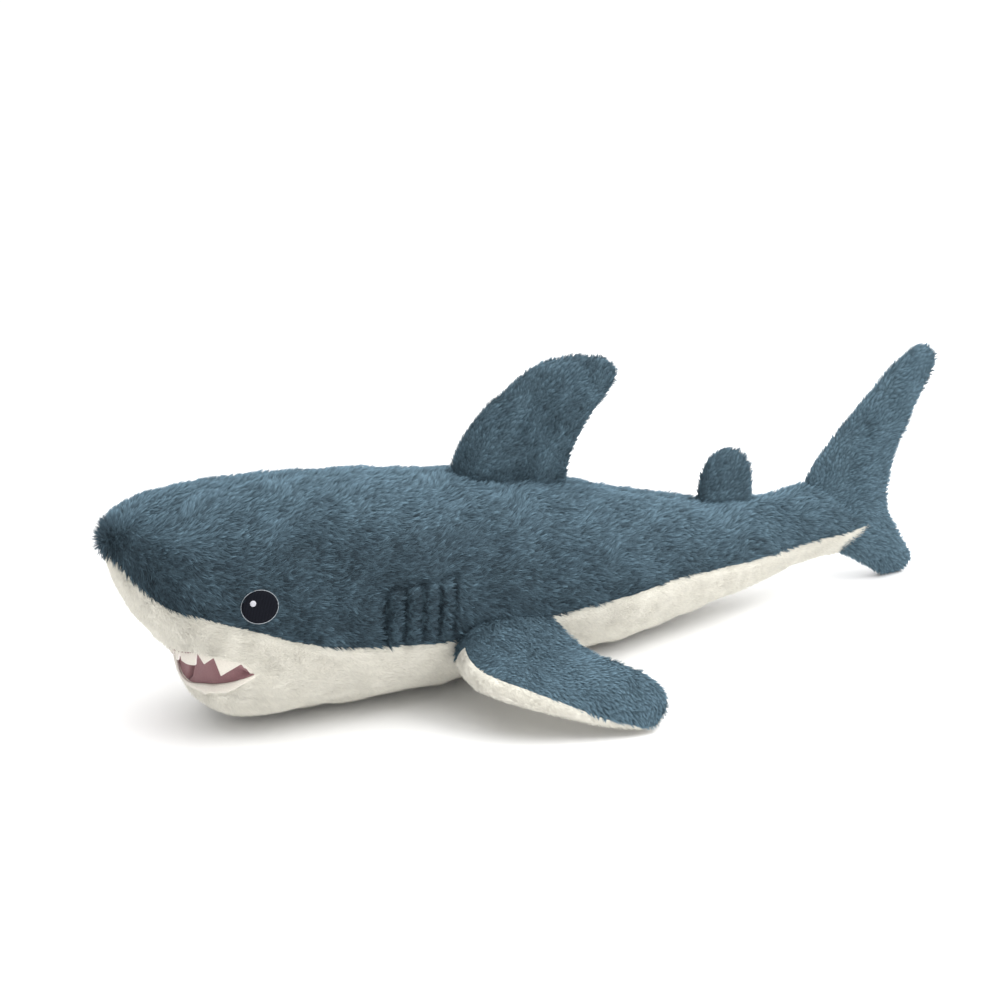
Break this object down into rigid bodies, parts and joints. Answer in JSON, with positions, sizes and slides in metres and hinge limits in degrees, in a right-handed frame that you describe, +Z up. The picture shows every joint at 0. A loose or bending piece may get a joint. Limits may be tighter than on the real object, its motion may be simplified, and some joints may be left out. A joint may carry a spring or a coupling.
{
  "type": "plush shark",
  "caption": "Stuffed toy shark lying on its belly, with plush back, pale belly, felt-toothed open mouth and soft fins and tail that bend where they are sewn on.",
  "frame": {"origin": "on the surface the toy lies on, under the centre of its overall box", "axes": "+X towards the tail, +Y towards the toy's right flank, +Z up"},
  "size_m": [0.5138, 0.241, 0.1745],
  "materials": {
    "blue_plush": "blue-grey long-pile plush",
    "fin_plush": "blue-grey long-pile plush",
    "white_plush": "off-white short-pile plush",
    "white_felt": "cream felt",
    "mouth_cloth": "mauve woven cloth",
    "polyester_stuffing": "white polyester fibre",
    "eye_black": "black satin stitching",
    "eye_thread": "grey thread",
    "gill_thread": "dark blue thread",
    "eye_white": "white satin stitching"
  },
  "bodies": {
    "trunk": {"body_stuffing": "polyester_stuffing", "back_panel_left": "blue_plush", "back_panel_right": "blue_plush", "belly_panel": "white_plush", "snout_panel": "white_plush", "mouth_lining_upper": "mouth_cloth", "upper_teeth": "white_felt", "eye_left": "eye_black", "eye_right": "eye_black", "eye_rim_left": "eye_thread", "eye_rim_right": "eye_thread", "eye_glint_left": "eye_white", "eye_glint_right": "eye_white", "gill_stitch_left_1": "gill_thread", "gill_stitch_left_2": "gill_thread", "gill_stitch_left_3": "gill_thread", "gill_stitch_left_4": "gill_thread", "gill_stitch_left_5": "gill_thread", "gill_stitch_right_1": "gill_thread", "gill_stitch_right_2": "gill_thread", "gill_stitch_right_3": "gill_thread", "gill_stitch_right_4": "gill_thread", "gill_stitch_right_5": "gill_thread"},
    "jaw": {"chin_panel": "white_plush", "jaw_stuffing": "polyester_stuffing", "mouth_lining_lower": "mouth_cloth", "lower_lip": "white_felt"},
    "rear_body": {"rear_stuffing": "polyester_stuffing", "rear_back_panel_left": "blue_plush", "rear_back_panel_right": "blue_plush", "rear_belly_panel": "white_plush"},
    "tail_fin": {"tail_fin_panel_left": "fin_plush", "tail_fin_panel_right": "fin_plush", "tail_fin_stuffing": "polyester_stuffing"},
    "dorsal_fin": {"dorsal_fin_panel_left": "fin_plush", "dorsal_fin_panel_right": "fin_plush", "dorsal_fin_stuffing": "polyester_stuffing"},
    "second_dorsal_fin": {"second_dorsal_fin_panel_left": "fin_plush", "second_dorsal_fin_panel_right": "fin_plush", "second_dorsal_fin_stuffing": "polyester_stuffing"},
    "pectoral_fin_left": {"pectoral_fin_left_panel_top": "fin_plush", "pectoral_fin_left_panel_underside": "white_plush", "pectoral_fin_left_stuffing": "polyester_stuffing"},
    "pectoral_fin_right": {"pectoral_fin_right_panel_top": "fin_plush", "pectoral_fin_right_panel_underside": "white_plush", "pectoral_fin_right_stuffing": "polyester_stuffing"}
  },
  "joints": [
    {"name": "jaw_open", "type": "hinge", "parent": "trunk", "child": "jaw", "pos_m": [-0.194, 0, 0.045], "axis": [0, -1, 0], "range_deg": [-5, 6], "stiffness_Nm_per_rad": 0.12},
    {"name": "rear_body_sway", "type": "hinge", "parent": "trunk", "child": "rear_body", "pos_m": [0.066, 0, 0.045], "axis": [0, 0, 1], "range_deg": [-20, 20], "stiffness_Nm_per_rad": 0.5},
    {"name": "tail_fin_sway", "type": "hinge", "parent": "rear_body", "child": "tail_fin", "pos_m": [0.185, 0, 0.043], "axis": [-0.4921, 0, 0.8706], "range_deg": [-30, 30], "stiffness_Nm_per_rad": 0.08},
    {"name": "dorsal_fin_flop", "type": "hinge", "parent": "trunk", "child": "dorsal_fin", "pos_m": [-0.022, 0, 0.11546], "axis": [0.981, 0, -0.194], "range_deg": [-40, 40], "stiffness_Nm_per_rad": 0.08},
    {"name": "second_dorsal_fin_flop", "type": "hinge", "parent": "rear_body", "child": "second_dorsal_fin", "pos_m": [0.116, 0, 0.07475], "axis": [0.9646, 0, -0.2637], "range_deg": [-40, 40], "stiffness_Nm_per_rad": 0.02},
    {"name": "pectoral_fin_left_lift", "type": "hinge", "parent": "trunk", "child": "pectoral_fin_left", "pos_m": [-0.045, -0.063, 0.037], "axis": [-0.9964, -0.0808, 0.0269], "range_deg": [0, 60], "stiffness_Nm_per_rad": 0.06},
    {"name": "pectoral_fin_right_lift", "type": "hinge", "parent": "trunk", "child": "pectoral_fin_right", "pos_m": [-0.045, 0.063, 0.037], "axis": [0.9964, -0.0808, -0.0269], "range_deg": [0, 60], "stiffness_Nm_per_rad": 0.06}
  ]
}
